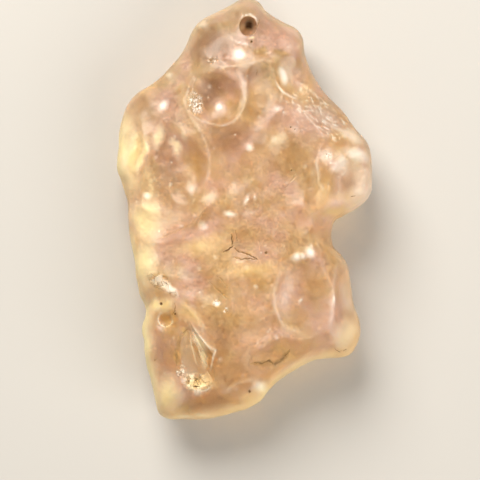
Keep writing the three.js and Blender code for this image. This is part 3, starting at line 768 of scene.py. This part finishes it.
# The thin margin, painted pale and yellow as a glow where light comes through: from and to which point of the
# girdle, its width, milk, yellow
PAINTED_GLOW_MARGINS = [
    (46, 51, 0.8, 0.95, 1.0),
    (51, 57, 0.8, 0.95, 1.0),
    (51, 57, 1.7, 0.9, 0.8),
    (56, 60, 0.5, 0.1, 0.5),
    (36, 50, 0.7, 1.0, 1.0),
    (24, 40, 0.8, 0.7, 0.9),
    (12, 18, 2.4, 0.6, 0.15),
    (18, 25, 0.6, 0.4, 0.4),
    (0, 9, 0.5, 0.25, 0.3),
    (59, 66, 0.5, 0.25, 0.4),
]
CLOUD_SPREAD = 1.3
# How brown the dish hollows are painted, as painted shade
HOLLOW_PAINTED_SHADE = 0.3

iron_and_painted_glow = np.zeros_like(x)
# Painted shade: the hollows of the front dishes, and the brown clouds below, are darkened brown
painted_shade = HOLLOW_PAINTED_SHADE * hollow
drifted = x, y
for stray in CLOUD_STRAYS:
    drifted = warped(*drifted, *stray)
# Each cloud adds milk (partly painted highlight and glow), yellow (iron, and painted glow near the margin)
# and brown (painted shade)
for cx, cy, half_width, half_length, turn, milk, yellow, painted_shade_brown in CLOUDS_AND_PAINTED_LIGHT:
    spot = (cx, cy, half_width * CLOUD_SPREAD, half_length * CLOUD_SPREAD, turn)
    there = mound(oval(*drifted, *spot))
    frost_and_painted_light = np.maximum(frost_and_painted_light, milk * there)
    iron_and_painted_glow = np.maximum(iron_and_painted_glow, yellow * there)
    painted_shade = np.maximum(painted_shade, painted_shade_brown * there)
# Painted glow: the thin margin is whitened and yellowed where light comes through
for first, last, width, milk, yellow in PAINTED_GLOW_MARGINS:
    away, taper = from_line(*uneven, GIRDLE[first:last])
    there = bell(away, width) * taper
    frost_and_painted_light = np.maximum(frost_and_painted_light, milk * there)
    iron_and_painted_glow = np.maximum(iron_and_painted_glow, yellow * np.sqrt(there))

glass_mesh.vertices.foreach_set("co", place.ravel())
glass_mesh.update()

# Wear: sand has rippled the whole outside, least where it rests, and waved the flanks under the girdle
RIPPLES = [(0.06, 0.75), (0.02, 1.9)]  # height, pace
RIPPLES_OVER = (0, 0.8)  # the heights over the table between which they come up
FLANK_WAVE = (0.55, 0.33)
FLANK_WAVE_OVER = (0, 2)
FLANK_REACH = 0.25  # how far down from the girdle the wave reaches its full height


def ripple(point, height, pace):
    return height * noise.noise(Vector(point) * pace)


outward = np.empty(len(place) * 3)
glass_mesh.vertex_normals.foreach_get("vector", outward)
outward = outward.reshape(-1, 3)
ripples = np.array([sum(ripple(point, *wave) for wave in RIPPLES) for point in place])
waves = np.array([ripple(point, *FLANK_WAVE) for point in place])
rippled = smoothstep(z, *RIPPLES_OVER) * ~in_pit
waved = smoothstep(-risen, 0, FLANK_REACH) * smoothstep(z, *FLANK_WAVE_OVER)
place += outward * (ripples * rippled + waves * waved)[:, None]
place[:] = np.clip(place, np.array(cad_low) / MM, np.array(cad_high) / MM)

glass_mesh.vertices.foreach_set("co", (place * MM).ravel())
for name, values in (
    ("frost_and_painted_light", frost_and_painted_light), ("dirt_and_pit_shadow", dirt_and_pit_shadow * on_front), ("iron_and_painted_glow", iron_and_painted_glow), ("painted_shade", painted_shade * on_front)
):
    glass_mesh.attributes.new(name, "FLOAT", "POINT").data.foreach_set("value", values)
glass_mesh.update()
glass = bpy.data.objects.new("glass", glass_mesh)
bpy.context.scene.collection.objects.link(glass)
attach(glass, "root")
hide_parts("desert_glass")

# Its finish: clear honey glass that deepens with thickness, under a sandblasted satin skin that is whiter on
# crests and dimples, partly frost and partly painted highlight. Both turn rosy in faint clouds, brown where
# shade is painted on, in the hollows and in patches, and yellow where there is iron and where the thin margin
# has a painted glow.
SILICA_IOR = 1.46
THICKNESS_COLOUR = (1.0, 0.74, 0.1, 1)
THICKNESS_DENSITY = 80
# Honey, rosy, brown of painted shade, yellow of iron and painted glow
CLEAR_COLOURS = [(1.0, 0.98, 0.88, 1), (0.98, 0.86, 0.89, 1), (0.5, 0.35, 0.29, 1), (1.0, 0.86, 0.44, 1)]
SKIN_COLOURS = [(0.87, 0.69, 0.39, 1), (0.85, 0.605, 0.515, 1), (0.42, 0.265, 0.16, 1), (1.0, 0.75, 0.36, 1)]
# Colours of the whitened skin, for frost and for painted highlights and glow: white, yellow
MILK_AND_PAINTED_LIGHT_COLOURS = [(0.96, 0.91, 0.84, 1), (1.0, 0.84, 0.4, 1)]  # white, yellow
# Colours of the dark skin: thin dirt, and thick dirt with the pit's painted shadow
DIRT_AND_SHADOW_COLOURS = [(0.4, 0.23, 0.07, 1), (0.1, 0.05, 0.015, 1)]  # thin, thick
SATIN_ROUGHNESS = 0.31
PEEL_ROUGHNESS, FROST_ROUGHNESS = 0.2, 0.3  # what the peel and the frost add to it
FROSTED_ROUGHNESS = 0.4
DIRT_AND_SHADOW_ROUGHNESS = 0.8
PEEL_DEPTH = 0.15
PEEL_STRENGTH = 0.4
# The level over which the clouds turn rosy or have specks, and how sharply
ROSY_OVER = (0.4, 5)
SPECKS_OVER = (0.46, 8)
SPECK_RADIUS, SPECK_SHARPNESS = 0.11, 20
SPECK_FROST = 0.7
# What each pattern adds to the haze of frosted skin, and the sum over which the haze starts
CLOUD_HAZE, PEEL_HAZE, GRAIN_HAZE, FROST_HAZE = 0.4, 0.35, 0.6, 0.6
HAZE_START = 0.11
# Waves to the metre
CLOUD_SCALE = 260
PEEL_SCALE = 900
SPECK_SCALE = 1000
GRAIN_SCALE = 5200

honey = Recipe("desert_glass")
here = honey.node("ShaderNodeTexCoord", {}, {}, "Object")


def mottle(scale, detail):
    return honey.node("ShaderNodeTexNoise", {}, {"Vector": here, "Scale": scale, "Detail": detail}, "Fac")


def attribute(name):
    return honey.node("ShaderNodeAttribute", {"attribute_name": name}, {}, "Fac")


def blend(share, first, second):
    return honey.node("ShaderNodeMix", {"data_type": "RGBA"}, {0: share, 6: first, 7: second}, 2)


def over(pattern, level, sharpness):
    """Where a pattern is over a level: from 0 to 1."""
    return ((pattern - level) * sharpness).clamped()


cloud = mottle(CLOUD_SCALE, 4)
peel = mottle(PEEL_SCALE, 2)
grain = mottle(GRAIN_SCALE, 2)
cell = honey.node("ShaderNodeTexVoronoi", {}, {"Vector": here, "Scale": SPECK_SCALE}, "Distance")
specks = ((SPECK_RADIUS - cell) * SPECK_SHARPNESS).clamped() * over(cloud, *SPECKS_OVER)
# Whiteness of the skin: frost, and painted highlights and glow
frosting_and_painted_light = (attribute("frost_and_painted_light") + specks * SPECK_FROST).clamped()
# Dark of cracks and dirt, and the painted shadow in the pit
dirt_and_shadow_share = attribute("dirt_and_pit_shadow")
yellowed = attribute("iron_and_painted_glow")
# The share of painted shade
painted_shade_share = attribute("painted_shade")
rosy = over(cloud, *ROSY_OVER)


# Tints turn rosy in the clouds, brown where shade is painted, and yellow with iron and painted glow
def tinted(plain, rose, painted_shade_brown, yellow):
    return blend(yellowed, blend(painted_shade_share, blend(rosy, plain, rose), painted_shade_brown), yellow)


skin_tint = blend(frosting_and_painted_light, tinted(*SKIN_COLOURS), blend(yellowed, *MILK_AND_PAINTED_LIGHT_COLOURS))
relief = honey.node(
    "ShaderNodeBump", {}, {"Strength": PEEL_STRENGTH, "Distance": PEEL_DEPTH * MM, "Height": peel}, "Normal"
)


def worn_face(tint, roughness, clearness):
    return honey.node(
        "ShaderNodeBsdfPrincipled", {},
        {
            "Base Color": tint,
            "Roughness": roughness,
            "IOR": SILICA_IOR,
            "Transmission Weight": clearness,
            "Normal": relief,
        },
    )


clear_tint = tinted(*CLEAR_COLOURS)
satin_roughness = (peel * PEEL_ROUGHNESS + SATIN_ROUGHNESS + frosting_and_painted_light * FROST_ROUGHNESS).clamped()
satin = worn_face(clear_tint, satin_roughness, 1.0)
frosted = worn_face(skin_tint, FROSTED_ROUGHNESS, 0.0)
# The dark skin of dirt and of the pit's painted shadow
rusty_and_shadowed = worn_face(blend(dirt_and_shadow_share, *DIRT_AND_SHADOW_COLOURS), DIRT_AND_SHADOW_ROUGHNESS, 0.0)
haze = (
    cloud * CLOUD_HAZE + peel * PEEL_HAZE - HAZE_START + (grain - 0.5) * GRAIN_HAZE + frosting_and_painted_light * FROST_HAZE
).clamped()
whitened = honey.node("ShaderNodeMixShader", {}, {0: haze, 1: satin, 2: frosted})
stained_and_shadowed = honey.node("ShaderNodeMixShader", {}, {0: dirt_and_shadow_share, 1: whitened, 2: rusty_and_shadowed})
depth_of_colour = honey.node(
    "ShaderNodeVolumeAbsorption", {}, {"Color": THICKNESS_COLOUR, "Density": THICKNESS_DENSITY}
)
honey.node("ShaderNodeOutputMaterial", {}, {"Surface": stained_and_shadowed, "Volume": depth_of_colour})
glass_mesh.materials.append(honey.material)
